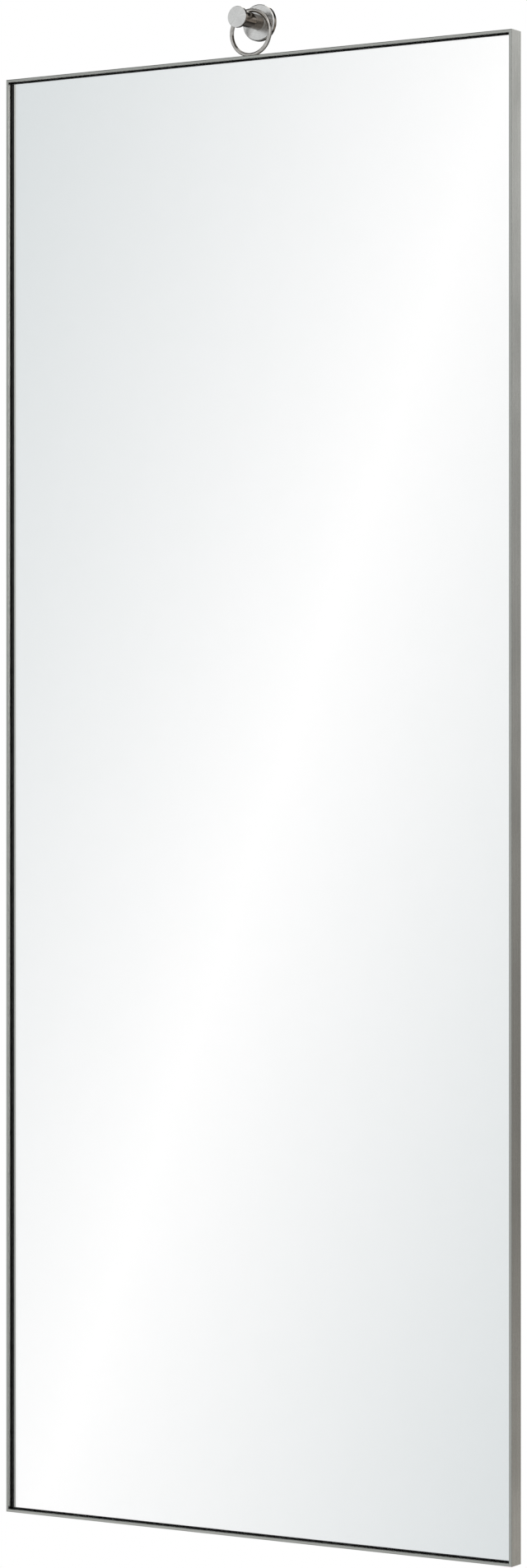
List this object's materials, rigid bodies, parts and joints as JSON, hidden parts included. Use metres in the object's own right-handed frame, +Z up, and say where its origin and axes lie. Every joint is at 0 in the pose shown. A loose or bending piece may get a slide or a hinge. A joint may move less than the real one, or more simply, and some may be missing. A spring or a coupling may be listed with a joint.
{
  "type": "wall mirror",
  "caption": "Tall rectangular mirror in a thin flat-bar metal frame, hung by a welded ring from a round wall peg with a flange and a wider head.",
  "frame": {"origin": "the peg's axis at the wall, the centre of the back face of its flange", "axes": "+Z up, +Y into the wall, +X to the right as the mirror is seen, which faces -Y"},
  "size_m": [0.61, 0.0936, 1.579],
  "materials": {
    "brushed_frame": "brushed along each bar",
    "brushed_peg": "brushed round the axis",
    "polished_steel": "polished",
    "welded_steel": "dressed weld",
    "zinc_steel": "zinc plated",
    "clear_glass": "clear",
    "silvering": "silvered",
    "black_foam": "matte",
    "black_board": "painted fibreboard",
    "mastic": "matte",
    "rubber_pad": "matte",
    "pale_nylon": "satin",
    "grey_nylon": "matte"
  },
  "bodies": {
    "wall_mount": {"wall_plug": "grey_nylon", "hanger_stud": "zinc_steel", "peg_flange": "brushed_peg", "flange_nut": "zinc_steel", "peg_head": "brushed_peg", "head_set_screw": "zinc_steel"},
    "sleeve": {"peg_sleeve": "polished_steel", "rear_bush": "pale_nylon", "front_bush": "pale_nylon"},
    "mirror": {"frame_top_bar": "brushed_frame", "frame_right_bar": "brushed_frame", "frame_bottom_bar": "brushed_frame", "frame_left_bar": "brushed_frame", "mirror_glass": "clear_glass", "silver_backing": "silvering", "backing_board": "black_board", "edge_liner_top": "black_foam", "edge_liner_bottom": "black_foam", "edge_liner_left": "black_foam", "edge_liner_right": "black_foam", "mastic_dab_1": "mastic", "mastic_dab_2": "mastic", "mastic_dab_3": "mastic", "mastic_dab_4": "mastic", "mastic_dab_5": "mastic", "mastic_dab_6": "mastic", "corner_bracket_top_left": "zinc_steel", "corner_bracket_top_right": "zinc_steel", "corner_bracket_bottom_left": "zinc_steel", "corner_bracket_bottom_right": "zinc_steel", "side_tab_left": "zinc_steel", "side_tab_right": "zinc_steel", "bracket_screw_1": "zinc_steel", "bracket_screw_2": "zinc_steel", "bracket_screw_3": "zinc_steel", "bracket_screw_4": "zinc_steel", "bracket_screw_5": "zinc_steel", "bracket_screw_6": "zinc_steel", "bracket_screw_7": "zinc_steel", "bracket_screw_8": "zinc_steel", "bracket_screw_9": "zinc_steel", "bracket_screw_10": "zinc_steel", "wall_bumper_top_left": "rubber_pad", "wall_bumper_top_right": "rubber_pad", "wall_bumper_bottom_left": "rubber_pad", "wall_bumper_bottom_right": "rubber_pad", "hanging_ring": "polished_steel", "ring_weld": "welded_steel"}
  },
  "joints": [
    {"name": "swing", "type": "hinge", "parent": "wall_mount", "child": "sleeve", "pos_m": [0, -0.0242, 0], "axis": [0, 1, 0], "range_deg": [-30, 30]},
    {"name": "unhook", "type": "slide", "parent": "sleeve", "child": "mirror", "axis": [0, -0.9659, 0.2588], "range_m": [0, 0.07]}
  ]
}
